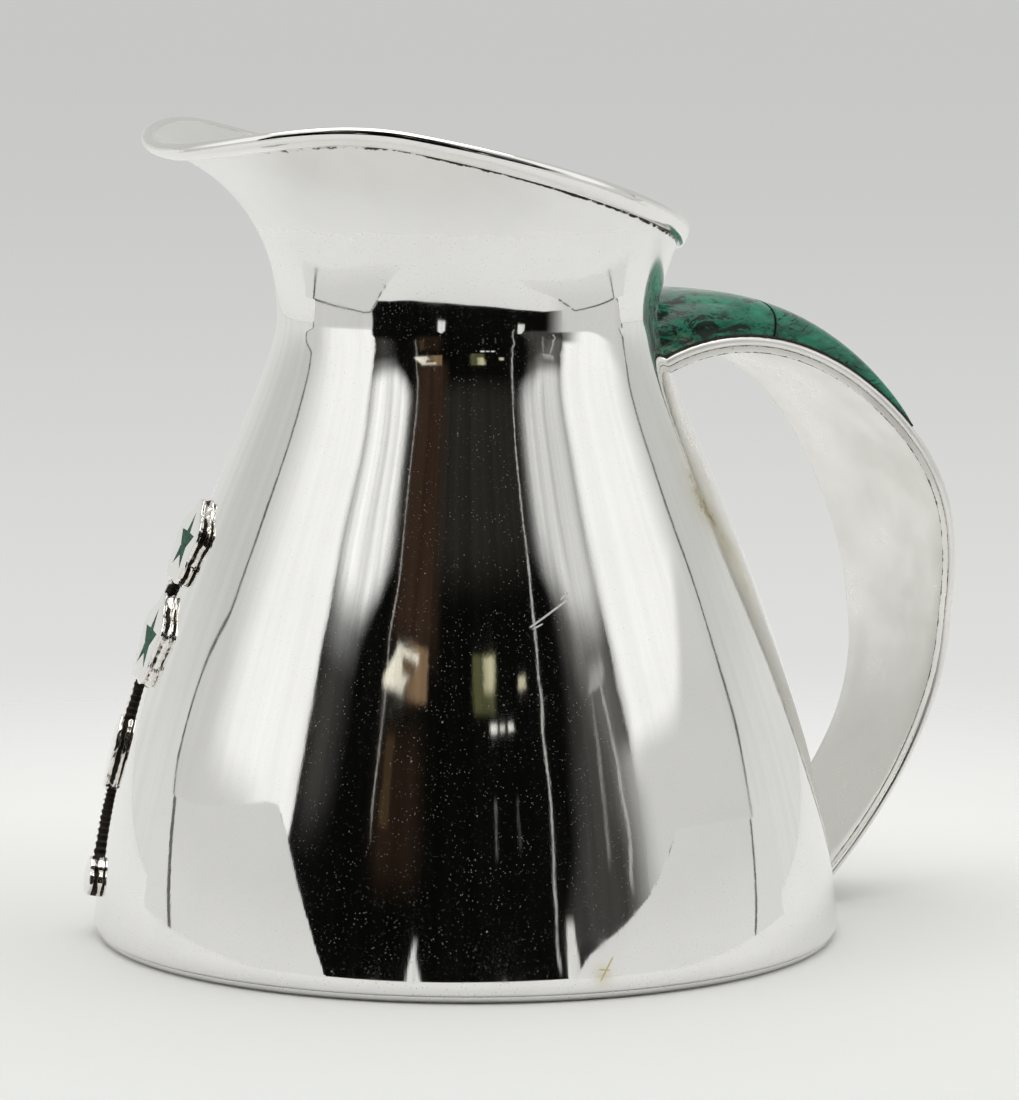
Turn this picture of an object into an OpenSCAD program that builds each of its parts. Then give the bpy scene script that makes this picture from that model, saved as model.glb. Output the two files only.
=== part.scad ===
// Silver water pitcher: a raised body with an open pouring lip, an applied rim,
// a broad two-layer strap handle crowned with green stone, and a spray of
// flowers soldered to the front. Millimetres. The origin is the centre of the
// foot on the table, +Z is up, the spout points to -X and the handle to +X.

/* [Body] */
// Widest radius of the body, just above its foot
body_radius = 80; // [76:0.5:84]
// Radius of the neck, where the lip starts to open
neck_radius = 40.4; // [38:0.2:43]
// Height of the neck above the table
neck_height = 132; // [128:1:136]
// Thickness of the silver sheet
sheet = 1.1; // [0.8:0.1:1.6]
// Thickness of the plate that closes the foot
plate = 1.5; // [1.2:0.1:2]

/* [Mouth] */
// Radius of the mouth away from the spout
mouth_radius = 44.55; // [43:0.05:47]
// Distance from the axis to the tip of the spout
spout_reach = 70.9; // [66:0.1:74]
// Angle from the tip over which the spout widens into the mouth
spout_spread = 80; // [70:1:90]
// Height of the rim halfway between spout and handle
rim_height = 163.6; // [160:0.1:168]
// Fall of the rim towards the handle, per millimetre
rim_slope = 0.2645; // [0.2:0.0005:0.3]
// Height of the applied rim moulding
rim_band_height = 4.3; // [3.5:0.1:5]

/* [Handle] */
// Width of the strap where it leaves the neck
strap_top_width = 42.5; // [38:0.5:45]
// Width of the strap where it meets the foot
strap_end_width = 31; // [28:0.5:34]
// Extra width of the strap at its shoulder
strap_shoulder = 6.5; // [3:0.5:7]
// Thickness of the inner layer of the strap
strap_inner = 1.5; // [1.2:0.1:2]
// Thickness of the outer layer of the strap
strap_outer = 2; // [1.6:0.1:2.5]

/* [Stone] */
// Thickness of the stone crown at the neck
stone_height = 10.5; // [8:0.1:13]
// Share of the strap's length that the stone covers
stone_share = 0.355; // [0.3:0.005:0.42]
// Share of the strap's length at the joint between the two stones
stone_joint = 0.145; // [0.1:0.005:0.2]

/* [Flowers] */
// Thickness of the flower heads
flower_height = 2.3; // [2:0.1:3.2]
// Radius of the upper flower
upper_flower_radius = 10; // [8:0.1:10.5]
// Radius of the lower flower
lower_flower_radius = 10.5; // [8:0.1:11]
// Height of the stems off the body
stem_height = 2.1; // [1.2:0.1:2.4]

/* [Hidden] */

sides = 64;             // corners of each ring round the body
foot_points = 2;        // rings of the rolled foot
wall_steps = 14;        // rings up the wall, foot to neck
lip_steps = 8;          // rings from the neck to the rim
strap_steps = 22;       // rings along each half of the strap
stone_steps = 12;       // rings along each stone

// Meridian of the wall from foot to neck, as [radius, height]
foot_top = 3.5;
foot_roll = 0.8;        // height of the rolled edge above the plate
foot_radius = body_radius - 0.7;
flat_radius = body_radius - 2.4;
wall_curve = [
    [body_radius, foot_top],
    [body_radius - 6.7, 66],
    [neck_radius, neck_height - 14],
    [neck_radius, neck_height]
];

// Shape of the spout: how sharply it narrows, and how its tip droops
spout_power = 1.74;
rim_bow = 0.0009;
droop_start = 38.8;
droop = 0.0085;

// Slope of the wall where it meets the rim, at the back and at the spout
lip_angle_back = 72;
lip_angle_spout = 21;
lip_rise = 0.2;         // share of the lip's height that still stands upright
lip_pull = 0.55;        // share of the lip's length that runs straight
rim_cover = 0.8;        // how far the moulding's top stands over the sheet

// Inner face of the strap, as [distance from the axis, height]
strap_top = [[38, 120.2], [68.5, 134], [108.8, 108.5], [108.8, 66]];
strap_low = [[108.8, 66], [108.8, 56.5], [112.6, 36.7], [77, 3.2]];
strap_thin = 0.72;      // thickness of the strap at its foot, as a share
strap_total = strap_inner + strap_outer;

cement = 0.35;
cement_inset = 0.2;     // gap between the cement's edge and the strap's edge
edge_inset = 0.4;       // gap between the stone's edge and the strap's edge
stone_start = -0.04;    // the stone begins inside the body and is trimmed to it
stone_side = 0.15;      // upright edge of the stone under its dome
stone_fall = 0.55;      // how evenly the stone thins towards its end
cushion = 0.62;         // 1 for a round dome, less for a flatter top
arc_step = 15;
strap_tangent = 0.012;  // share of the strap's length used to find its slope

// Places on the front of the body: [degrees round from the spout, height]
upper_flower_at = [19.5, 84];
lower_flower_at = [20.5, 63.2];
leaf_at = [27, 38.2];
bud_at = [23, 12.2];
main_stem_path = [[21.5, 78], [32, 69], [31, 56], [26, 43]];
lower_stem_path = [[27.5, 33], [29, 28], [28, 22], [24.5, 14.5]];
stem_steps = 16;
inlay_depth = 0.8;
star_reach = 0.68;     // radius of the star, as a share of its flower's
star_waist = 0.42;      // radius between two arms, as a share of the star's
plate_lean = 0.08;     // rise of a cast plate's top per unit across it
leaf_size = [4.6, 8];   // half width and half length
bud_radius = 4.4;
leaf_height = 2.7;      // thickness of the leaf and of the bud
sink = -0.5;            // cutters start this far under the body's surface
outline_corners = 50;

// ---------- curves ----------

function curve(p, t) =
    pow(1 - t, 3) * p[0] + 3 * t * pow(1 - t, 2) * p[1] + 3 * t * t * (1 - t) * p[2] + pow(t, 3) * p[3];

function unit(v) = v / norm(v);

function smooth(x) = let (c = min(1, max(0, x))) c * c * (3 - 2 * c);

function mix(a, b, share) = a + (b - a) * share;

// 1 at the spout's tip, falling to 0 round the mouth
function spout_share(angle) =
    let (turn = abs((angle + 180) % 360 - 180)) exp(-pow(turn / spout_spread, spout_power));

// ---------- body ----------

function rim_radius(angle) = mix(mouth_radius, spout_reach, spout_share(angle));

function rim_level(x) =
    rim_height - rim_slope * x - rim_bow * x * x - droop * pow(max(0, -x - droop_start), 2);

// Top of the rim, as [radius, height] at an angle from the spout
function rim_point(angle) = let (r = rim_radius(angle)) [r, rim_level(-r * cos(angle))];

// Direction of the wall at the rim
function rim_direction(angle) =
    let (slope = mix(lip_angle_back, lip_angle_spout, spout_share(angle))) [cos(slope), sin(slope)];

// The lip's meridian, from the neck to the foot of the rim moulding
function lip_curve(angle) =
    let (
        neck = [neck_radius, neck_height],
        along = rim_direction(angle),
        end = rim_point(angle) - rim_band_height * along,
        run = norm(end - neck)
    )
    [neck, neck + [0, lip_rise * (end[1] - neck[1])], end - lip_pull * run * along, end];

// Outside of the wall at an angle, from the foot to just under the rim's top
function wall_outside(angle) =
    let (lip = lip_curve(angle))
    concat(
        [[foot_radius, plate], [foot_radius + 0.5, plate + foot_roll]],
        [for (i = [0:wall_steps]) curve(wall_curve, i / wall_steps)],
        [for (i = [1:lip_steps]) curve(lip, i / lip_steps)],
        [rim_point(angle) - rim_cover * rim_direction(angle)]
    );

// The same wall moved inwards by one thickness of sheet
function wall_inside(angle) =
    let (w = wall_outside(angle), last = len(w) - 1)
    concat(
        [[foot_radius - sheet, plate]],
        [for (i = [foot_points + 1:last])
            let (d = unit(w[min(i + 1, last)] - w[i - 1]))
            w[i] + sheet * [-d[1], d[0]]]
    );

function turned(p, angle) = [-p[0] * cos(angle), p[0] * sin(angle), p[1]];

function reversed(list) = [for (i = [len(list) - 1:-1:0]) list[i]];

// Rings round the axis: one per point of a section that may change with angle
function rings(sections) =
    [for (k = [0:len(sections[0]) - 1]) for (i = [0:len(sections) - 1])
        turned(sections[i][k], 360 * i / len(sections))];

// Two triangles between corners i and i + 1 of rings a and b
function band(a, b, i, count) =
    let (j = (i + 1) % count)
    [[a * count + i, a * count + j, b * count + j], [a * count + i, b * count + j, b * count + i]];

// A closed skin of rings that also joins its last ring to its first
module ring_solid(points, count) {
    total = len(points) / count;
    polyhedron(points, [for (k = [0:total - 1]) for (i = [0:count - 1])
        each band(k, (k + 1) % total, i, count)]);
}

// A closed skin of rings with a fan of triangles over each end
module capped_solid(points, count, start, finish) {
    total = len(points) / count;
    first = len(points);
    polyhedron(
        concat(points, [start, finish]),
        concat(
            [for (k = [0:total - 2]) for (i = [0:count - 1]) each band(k, k + 1, i, count)],
            [for (i = [0:count - 1]) [first, (i + 1) % count, i]],
            [for (i = [0:count - 1])
                [first + 1, (total - 1) * count + i, (total - 1) * count + (i + 1) % count]]
        )
    );
}

// Everything inside the outer surface of the body, for trimming what meets it
module body_core() {
    sections = [for (i = [0:sides - 1])
        concat([[foot_radius, 0]], wall_outside(360 * i / sides))];
    capped_solid(rings(sections), sides, [0, 0, 0], [0, 0, rim_height]);
}

module body_shell() {
    sections = [for (i = [0:sides - 1])
        let (a = 360 * i / sides) concat(wall_outside(a), reversed(wall_inside(a)))];
    color("silver") ring_solid(rings(sections), sides);
}

// Flat disc that closes the foot, with its lower edge eased
module base_plate() {
    edge_height = 0.5;
    color("silver") rotate_extrude($fn = 128)
        polygon([
            [0, 0], [flat_radius, 0], [foot_radius - edge_height, edge_height],
            [foot_radius, plate], [0, plate]
        ]);
}

// Section of the rim moulding as [out from the wall, along the wall]
rim_section = [
    [0, -rim_band_height], [0.9, -rim_band_height], [1.5, -rim_band_height + 0.5],
    [1.6, -1.2], [1.35, -0.3], [0.7, 0.25], [-0.1, 0.3], [-0.8, -0.05],
    [-sheet, -rim_cover], [0, -rim_cover]
];

module rim_band() {
    sections = [for (i = [0:sides - 1])
        let (a = 360 * i / sides, along = rim_direction(a), out = [along[1], -along[0]])
        [for (p = rim_section) rim_point(a) + p[0] * out + p[1] * along]];
    color("silver") ring_solid(rings(sections), sides);
}

// ---------- handle ----------

strap_line = concat(
    [for (i = [0:strap_steps - 1]) curve(strap_top, i / strap_steps)],
    [for (i = [0:strap_steps]) curve(strap_low, i / strap_steps)]
);
strap_last = len(strap_line) - 1;
strap_run = [for (i = 0, run = 0; i <= strap_last;
    run = run + (i < strap_last ? norm(strap_line[i + 1] - strap_line[i]) : 0), i = i + 1) run];

// Position along the strap, 0 at the neck and 1 at the foot
function strap_share(i) = strap_run[i] / strap_run[strap_last];

// Width of the strap: level, then a wider shoulder, then a taper to the foot
function strap_width(share) =
    mix(strap_top_width, strap_end_width, smooth((share - 0.46) / 0.32))
    + strap_shoulder * exp(-pow((share - 0.42) / 0.11, 2));

function strap_layer(share) = mix(1, strap_thin, smooth((share - 0.6) / 0.4));

// A point on the strap at any share of its length
function strap_at(share, i = 0) =
    i >= strap_last - 1 || strap_share(i + 1) >= share
        ? mix(strap_line[i], strap_line[i + 1],
            (share - strap_share(i)) / (strap_share(i + 1) - strap_share(i)))
        : strap_at(share, i + 1);

// Outward direction of the strap's face
function strap_out(share) =
    let (ahead = strap_at(min(1, share + strap_tangent)), behind = strap_at(max(0, share - strap_tangent)))
    let (d = unit(ahead - behind)) [-d[1], d[0]];

// A section [across, out] placed on the strap
function strap_ring(share, section) =
    let (p = strap_at(share), out = strap_out(share))
    [for (s = section) [p[0] + s[1] * out[0], s[0], p[1] + s[1] * out[1]]];

function flat(lists) = [for (l = lists) each l];

function ring_centre(ring) = let (n = len(ring)) [for (r = ring) 1] * ring / n;

// Sweeps one section per share along the strap and closes both ends
module along_strap(ring_list) {
    capped_solid(flat(ring_list), len(ring_list[0]),
        ring_centre(ring_list[0]), ring_centre(ring_list[len(ring_list) - 1]));
}

function inner_section(half, layer) =
    [[-half + 0.3, 0], [-half, 0.4], [-half, layer], [half, layer], [half, 0.4], [half - 0.3, 0]];

function outer_section(half, low, high) = [
    [-half, low], [-half - 0.35, low + 0.45], [-half - 0.35, high - 0.6], [-half + 0.1, high],
    [half - 0.1, high], [half + 0.35, high - 0.6], [half + 0.35, low + 0.45], [half, low]
];

strap_shares = [for (i = [0:strap_last]) strap_share(i)];

module handle_inner_band() {
    color("silver") difference() {
        along_strap([for (u = strap_shares)
            strap_ring(u, inner_section(strap_width(u) / 2, strap_inner * strap_layer(u)))]);
        body_core();
    }
}

module handle_outer_band() {
    color("gainsboro") difference() {
        along_strap([for (u = strap_shares)
            let (low = strap_inner * strap_layer(u), high = strap_total * strap_layer(u))
            strap_ring(u, outer_section(strap_width(u) / 2, low, high))]);
        body_core();
    }
}

// ---------- stone ----------

function stone_thickness(share) =
    stone_height * pow(max(0.003, 1 - share / stone_share), stone_fall);

// Domed section of the stone: a flat bed under a cushion-shaped top
function stone_section(share) =
    let (
        half = strap_width(share) / 2 - edge_inset,
        low = strap_total + cement,
        rise = stone_thickness(share)
    )
    concat(
        [[-half, low]],
        [for (a = [180:-arc_step:0])
            [half * sign(cos(a)) * pow(abs(cos(a)), cushion),
                low + stone_side + rise * pow(abs(sin(a)), cushion)]],
        [[half, low]]
    );

module stone(from, to) {
    difference() {
        along_strap([for (i = [0:stone_steps])
            let (u = mix(from, to, i / stone_steps)) strap_ring(u, stone_section(u))]);
        body_core();
    }
}

module neck_stone() { color("seagreen") stone(stone_start, stone_joint); }

module crest_stone() { color("mediumseagreen") stone(stone_joint, stone_share); }

// Dark cement between the stones and the strap
module stone_cement_bed() {
    bed_end = stone_share + 0.004;
    color("dimgray") difference() {
        along_strap([for (i = [0:stone_steps])
            let (
                u = mix(stone_start, bed_end, i / stone_steps),
                half = strap_width(u) / 2 - cement_inset,
                top = strap_total + cement
            )
            strap_ring(u, [[-half, strap_total], [-half, top], [half, top], [half, strap_total]])]);
        body_core();
    }
}

// ---------- flowers ----------

// Share of the wall's curve at a height, found by halving
function wall_share(height, low = 0, high = 1, rounds = 16) =
    let (middle = (low + high) / 2)
    rounds == 0 ? middle
        : curve(wall_curve, middle)[1] < height
            ? wall_share(height, middle, high, rounds - 1)
            : wall_share(height, low, middle, rounds - 1);

// A point at an angle and height, lifted off the surface
function on_body(angle, height, lift) =
    let (
        t = wall_share(height),
        p = curve(wall_curve, t),
        d = unit(curve(wall_curve, t + 0.001) - p)
    )
    turned([p[0] + lift * d[1], p[1] - lift * d[0]], angle);

// A flat shape [across, up] laid on the body round a place
function laid(at, point, lift) =
    let (
        t = wall_share(at[1]),
        p = curve(wall_curve, t),
        d = unit(curve(wall_curve, t + 0.001) - p)
    )
    on_body(at[0] + point[0] / p[0] * 180 / PI, at[1] + point[1] * d[1], lift);

// Extra height of a flat plate's top at a distance across it: the body falls away from
// under the plate, and the plate leans so that its far edge stands higher
function fall_away(at, across) =
    across * across / (2 * curve(wall_curve, wall_share(at[1]))[0]) + plate_lean * across;

// A plate whose underside follows the body and whose top is flat, with a softened edge
module plate_on_body(at, outline, low, high, soft) {
    count = len(outline);
    follow = function(scale) [for (p = outline) laid(at, scale * p, low)];
    level = function(scale, lift) [for (p = outline)
        laid(at, scale * p, lift + fall_away(at, scale * p[0]))];
    capped_solid(
        concat(follow(0.5), follow(1), level(1, high - soft), level(0.94, high), level(0.5, high)),
        count, laid(at, [0, 0], low), laid(at, [0, 0], high)
    );
}

// Five round petals
function petals(radius) = [for (i = [0:outline_corners - 1])
    let (a = 360 * i / outline_corners)
    radius * (0.8 + 0.2 * pow(abs(cos(2.5 * (a - 90))), 0.6)) * [cos(a), sin(a)]];

// Slim star with one arm in each petal
function star(radius) = [for (i = [0:9])
    let (a = 90 + 36 * i) radius * (i % 2 == 0 ? 1 : star_waist) * [cos(a), sin(a)]];

// Pointed oval
function leaf_outline(size) = [for (i = [0:31])
    let (a = 360 * i / 32)
    [size[0] * cos(a) * pow(abs(cos(a)), 0.15), size[1] * sin(a)]];

// Three-lobed bud with its point upwards
function bud_outline(radius) = [for (i = [0:35])
    let (a = 10 * i)
    radius * (0.76 + 0.24 * pow(abs(cos(1.5 * (a - 90))), 0.7)) * [1.12 * cos(a), sin(a)]];

module flower(at, radius) {
    color("lightgray") difference() {
        plate_on_body(at, petals(radius), 0, flower_height, 0.5);
        star_prism(at, radius, flower_height + 1);
    }
}

module star_prism(at, radius, top) {
    plate_on_body(at, star(star_reach * radius), flower_height - inlay_depth, top, 0.02);
}

module upper_flower() { flower(upper_flower_at, upper_flower_radius); }

module lower_flower() { flower(lower_flower_at, lower_flower_radius); }

module upper_star_inlay() {
    color("seagreen") star_prism(upper_flower_at, upper_flower_radius, flower_height);
}

module lower_star_inlay() {
    color("seagreen") star_prism(lower_flower_at, lower_flower_radius, flower_height);
}

module leaf() {
    color("lightgray") plate_on_body(leaf_at, leaf_outline(leaf_size), 0, leaf_height, 0.5);
}

module bud() {
    color("lightgray") plate_on_body(bud_at, bud_outline(bud_radius), 0, leaf_height, 0.5);
}

// Cutters that end a stem against the piece it runs to
module flower_cutter(at, radius) { plate_on_body(at, petals(radius), sink, flower_height, 0.01); }

module leaf_cutter() { plate_on_body(leaf_at, leaf_outline(leaf_size), sink, leaf_height + 1, 0.01); }

module bud_cutter() { plate_on_body(bud_at, bud_outline(bud_radius), sink, leaf_height + 1, 0.01); }

stem_section = [
    [1.2, 0], [1.1, 0.7 * stem_height], [0.5, stem_height],
    [-0.5, stem_height], [-1.1, 0.7 * stem_height], [-1.2, 0]
];

// A low half-round wire along a curve of [angle, height] places
module stem(path) {
    places = [for (i = [0:stem_steps])
        let (
            p = curve(path, i / stem_steps),
            q = curve(path, i / stem_steps + 0.01),
            radius = curve(wall_curve, wall_share(p[1]))[0],
            step = unit([(q[0] - p[0]) * radius * PI / 180, q[1] - p[1]])
        )
        [for (s = stem_section)
            let (side = s[0] * [-step[1], step[0]])
            on_body(p[0] + side[0] / radius * 180 / PI, p[1] + side[1], s[1])]];
    count = len(stem_section);
    capped_solid(flat(places), count, ring_centre(places[0]), ring_centre(places[stem_steps]));
}

module main_stem() {
    color("darkgray") difference() {
        stem(main_stem_path);
        flower_cutter(upper_flower_at, upper_flower_radius);
        flower_cutter(lower_flower_at, lower_flower_radius);
        leaf_cutter();
    }
}

module lower_stem() {
    color("darkgray") difference() {
        stem(lower_stem_path);
        leaf_cutter();
        bud_cutter();
    }
}

body_shell();
base_plate();
rim_band();
handle_outer_band();
handle_inner_band();
stone_cement_bed();
neck_stone();
crest_stone();
upper_flower();
lower_flower();
upper_star_inlay();
lower_star_inlay();
main_stem();
leaf();
lower_stem();
bud();
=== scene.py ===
"""The looks of the silver water pitcher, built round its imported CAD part.

Sizes are in millimetres, as in the CAD, and become metres when a mesh is made. The foot's centre
is the origin, +Z is up, the spout points to -X and the handle to +X. Angles go round from the spout.
"""

import bisect
import math

import bmesh
import bpy
from mathutils import Matrix, Vector, noise


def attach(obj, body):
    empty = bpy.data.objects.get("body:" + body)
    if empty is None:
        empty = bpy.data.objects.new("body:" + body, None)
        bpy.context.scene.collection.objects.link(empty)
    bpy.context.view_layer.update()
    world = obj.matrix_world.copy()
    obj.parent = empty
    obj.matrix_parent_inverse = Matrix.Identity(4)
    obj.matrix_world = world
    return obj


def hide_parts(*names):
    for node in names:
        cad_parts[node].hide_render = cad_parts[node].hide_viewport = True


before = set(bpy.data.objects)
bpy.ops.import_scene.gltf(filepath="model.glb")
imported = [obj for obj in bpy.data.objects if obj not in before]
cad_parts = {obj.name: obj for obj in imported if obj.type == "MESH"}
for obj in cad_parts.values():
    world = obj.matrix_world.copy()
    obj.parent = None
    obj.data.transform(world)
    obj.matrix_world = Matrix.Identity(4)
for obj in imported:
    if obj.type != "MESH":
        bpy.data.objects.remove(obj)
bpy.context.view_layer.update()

MM = 0.001


def path(*points):
    return [Vector(p) for p in points]


# Body
NECK_RADIUS = 40.4
NECK_HEIGHT = 132.0
SHEET = 1.1
PLATE = 1.5
FOOT_RADIUS = 79.3
FOOT_CURVE = path((79.1, 1.5), (79.8, 1.5), (80.05, 2.4), (80.0, 3.5))
WALL_CURVE = path((80.0, 3.5), (73.3, 66.0), (40.4, 118.0), (40.4, 132.0))

# Section of the disc under the body, as (radius, height) round its eased lower edge
BASE_SECTION = ((0.4, 0), (40, 0), (76, 0), (77.6, 0), (78.3, 0.12), (78.8, 0.4), (79.15, 0.85),
                (79.3, 1.5), (78, 1.5), (40, 1.5), (0.4, 1.5))

# Hammering, as (closeness of the lumps, their height)
HAMMER_SLOW = (0.017, 0.17)
HAMMER_QUICK = (0.052, 0.045)

# Mouth
MOUTH_RADIUS = 44.55
SPOUT_REACH = 70.9
SPOUT_SPREAD = 80.0
SPOUT_POWER = 1.74
RIM_HEIGHT = 163.6
RIM_SLOPE = 0.2645
RIM_BOW = 0.0009
DROOP_START = 38.8
DROOP = 0.0085
LIP_ANGLE_BACK = 72.0
LIP_ANGLE_SPOUT = 21.0
LIP_RISE = 0.2
LIP_PULL = 0.55
RIM_BAND = 4.3
RIM_COVER = 0.8

# Handle
STRAP_TOP = path((38.0, 120.2), (68.5, 134.0), (108.8, 108.5), (108.8, 66.0))
STRAP_LOW = path((108.8, 66.0), (108.8, 56.5), (112.6, 36.7), (77.0, 3.2))
STRAP_TOP_WIDTH = 42.5
STRAP_END_WIDTH = 31.0
STRAP_SHOULDER = 6.5
STRAP_INNER = 1.5
STRAP_OUTER = 2.0
STRAP_TOTAL = STRAP_INNER + STRAP_OUTER
STRAP_THIN = 0.72
EMBED = 0.45  # how far a soldered end reaches into the body's sheet

# Stone
STONE_HEIGHT = 10.5
STONE_SHARE = 0.355
STONE_JOINT = 0.145
JOINT_GAP = 0.0006
STONE_FALL = 0.55
CEMENT = 0.35
CUSHION = 0.62
STONE_INSET = 0.4

# Flowers, as [degrees from the spout, height]
UPPER_FLOWER_AT = (19.5, 84.0)
LOWER_FLOWER_AT = (20.5, 63.2)
LEAF_AT = (27.0, 38.2)
BUD_AT = (23.0, 12.2)
UPPER_FLOWER_RADIUS = 10.0
LOWER_FLOWER_RADIUS = 10.5
BUD_RADIUS = 4.4
LEAF_SIZE = (4.6, 8.0)
FLOWER_HEIGHT = 2.3
LEAF_HEIGHT = 2.7
INLAY_DEPTH = 0.8
STAR_REACH = 0.68
STAR_WAIST = 0.42
PLATE_LEAN = 0.08
STEM_HEIGHT = 2.1
STEM_REACH = 1.2
STEM_SUNK = 0.2
MILLING_PITCH = 1.3
MILLING_DEPTH = 0.09
MAIN_STEM = path((21.5, 78.0), (32.0, 69.0), (31.0, 56.0), (26.0, 43.0))
LOWER_STEM = path((27.5, 33.0), (29.0, 28.0), (28.0, 22.0), (24.5, 14.5))

# Fineness of the meshes
AROUND = 384
FOOT_RINGS = 8
WALL_RINGS = 120
LIP_RINGS = 56
OUTLINE = 200
STRAP_STEPS = 260
CEMENT_STEPS = 220
STRAP_COLUMNS = 8
HALVINGS = 24
STEM_STEPS = 160
STEM_SIDES = 10
ANGLES = [360 * i / AROUND for i in range(AROUND)]
OUTLINE_ANGLES = [2 * math.pi * i / OUTLINE for i in range(OUTLINE)]


# ---------- curves ----------


def mix(a, b, share):
    return a + (b - a) * share


def smooth(x):
    c = min(1.0, max(0.0, x))
    return c * c * (3 - 2 * c)


def curve(p, t):
    s = 1 - t
    return s**3 * p[0] + 3 * t * s * s * p[1] + 3 * t * t * s * p[2] + t**3 * p[3]


def left_of(direction):
    """The unit vector a quarter turn anticlockwise from a direction in the plane."""
    d = direction.normalized()
    return Vector((-d.y, d.x))


def turned(point, angle):
    """A [radius, height] point placed at an angle in degrees from the spout."""
    a = math.radians(angle)
    return Vector((-point.x * math.cos(a), point.x * math.sin(a), point.y))


# ---------- meshes ----------


def ring_faces(rings, around, closed=False):
    """Quads between rings of points; closed joins the last ring to the first."""
    faces = []
    for k in range(rings if closed else rings - 1):
        a, b = k * around, (k + 1) % rings * around
        for i in range(around):
            j = (i + 1) % around
            faces.append((a + i, a + j, b + j, b + i))
    return faces


MATERIALS = {}


def make_piece(name, points, faces, slot, layers=None, sharp=38.0):
    """A closed mesh that stands for the CAD node of the same name."""
    mesh = bpy.data.meshes.new(name + "_skin")
    mesh.from_pydata([p * MM for p in points], [], faces)
    for layer, values in (layers or {}).items():
        mesh.attributes.new(layer, "FLOAT", "POINT").data.foreach_set("value", values)
    bm = bmesh.new()
    bm.from_mesh(mesh)
    bmesh.ops.recalc_face_normals(bm, faces=bm.faces)
    limit = math.radians(sharp)
    for face in bm.faces:
        face.smooth = True
    for edge in bm.edges:
        edge.smooth = edge.calc_face_angle(0.0) < limit
    bm.to_mesh(mesh)
    bm.free()
    mesh.materials.append(MATERIALS[slot])
    piece = bpy.data.objects.new(name + "_skin", mesh)
    bpy.context.scene.collection.objects.link(piece)
    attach(piece, "root")
    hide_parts(name)


def make_swept(name, rings, slot, layers=None, sharp=38.0):
    """A piece whose end rings are closed by fans; its layers end with the fans' two values."""
    around = len(rings[0])
    points = sum(rings, [])
    faces = ring_faces(len(rings), around)
    for ring, base in ((rings[0], 0), (rings[-1], (len(rings) - 1) * around)):
        middle = len(points)
        points.append(sum(ring, Vector()) / around)
        faces += [(middle, base + i, base + (i + 1) % around) for i in range(around)]
    make_piece(name, points, faces, slot, layers, sharp)


def make_ringed(name, rings, slot, layers=None, sharp=38.0):
    """A piece whose last ring joins its first."""
    faces = ring_faces(len(rings), AROUND, True)
    make_piece(name, sum(rings, []), faces, slot, layers, sharp)


# ---------- body ----------


def spout_share(angle):
    turn = abs((angle + 180) % 360 - 180)
    return math.exp(-((turn / SPOUT_SPREAD) ** SPOUT_POWER))


def rim_point(angle):
    r = mix(MOUTH_RADIUS, SPOUT_REACH, spout_share(angle))
    x = -r * math.cos(math.radians(angle))
    droop = DROOP * max(0.0, -x - DROOP_START) ** 2
    return Vector((r, RIM_HEIGHT - RIM_SLOPE * x - RIM_BOW * x * x - droop))


def lip_slope(angle):
    return math.radians(mix(LIP_ANGLE_BACK, LIP_ANGLE_SPOUT, spout_share(angle)))


def rim_direction(angle):
    slope = lip_slope(angle)
    return Vector((math.cos(slope), math.sin(slope)))


def lip_curve(angle):
    neck = Vector((NECK_RADIUS, NECK_HEIGHT))
    along = rim_direction(angle)
    end = rim_point(angle) - RIM_BAND * along
    run = (end - neck).length
    return [neck, neck + Vector((0, LIP_RISE * (end.y - neck.y))), end - LIP_PULL * run * along, end]


def wall_outside(angle):
    """The outer meridian from the foot to just under the rim, finer towards the rim."""
    lip = lip_curve(angle)
    foot = [curve(FOOT_CURVE, i / FOOT_RINGS) for i in range(FOOT_RINGS)]
    wall = [curve(WALL_CURVE, i / WALL_RINGS) for i in range(WALL_RINGS)]
    upper = [curve(lip, 1 - (1 - i / LIP_RINGS) ** 1.5) for i in range(LIP_RINGS + 1)]
    return foot + wall + upper + [rim_point(angle) - RIM_COVER * rim_direction(angle)]


def hand_raised(point):
    """Slow unevenness that hammering leaves, in millimetres; none at the foot and the rim."""
    fade = smooth((point.z - 1.5) / 12) * smooth((166 - point.z) / 30)
    slow = noise.noise(point * HAMMER_SLOW[0] + Vector((3.1, 0.4, 8.2)))
    quick = noise.noise(point * HAMMER_QUICK[0] + Vector((9.7, 5.5, 1.3)))
    return fade * (HAMMER_SLOW[1] * slow + HAMMER_QUICK[1] * quick)


def near(point, angle, height, reach):
    """1 at a place on the body, falling to 0 about two reaches away."""
    away = (point - turned(Vector((wall_radius(height), height)), angle)).length
    return math.exp(-((away / reach) ** 2))


PROFILE_BACK = wall_outside(165.0)


def wall_radius(height):
    """Radius of the body's outside at a height, on the handle's side."""
    k = bisect.bisect([p.y for p in PROFILE_BACK], height)
    k = min(max(k, 1), len(PROFILE_BACK) - 1)
    a, b = PROFILE_BACK[k - 1], PROFILE_BACK[k]
    return mix(a.x, b.x, min(max((height - a.y) / (b.y - a.y), 0.0), 1.0))


# Places where the silver has yellowed, as (degrees from the spout, height, reach, strength)
YELLOWED = (
    (-126.5, 95.0, 4.5, 0.75),
    (-126.0, 101.0, 4.0, 0.6),
    (-126.0, 108.0, 3.5, 0.35),
    (-130.0, 90.0, 4.0, 0.6),
    (-134.0, 85.0, 4.5, 0.6),
    (-138.0, 76.0, 6.0, 0.5),
    (-81.5, 5.0, 2.0, 0.8),
)


def seam_depth(angle):
    """How dark the seam under the rim has gone; it stays cleaner at the spout."""
    return 1 - 0.7 * spout_share(2.2 * ((angle + 180) % 360 - 180))


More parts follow.
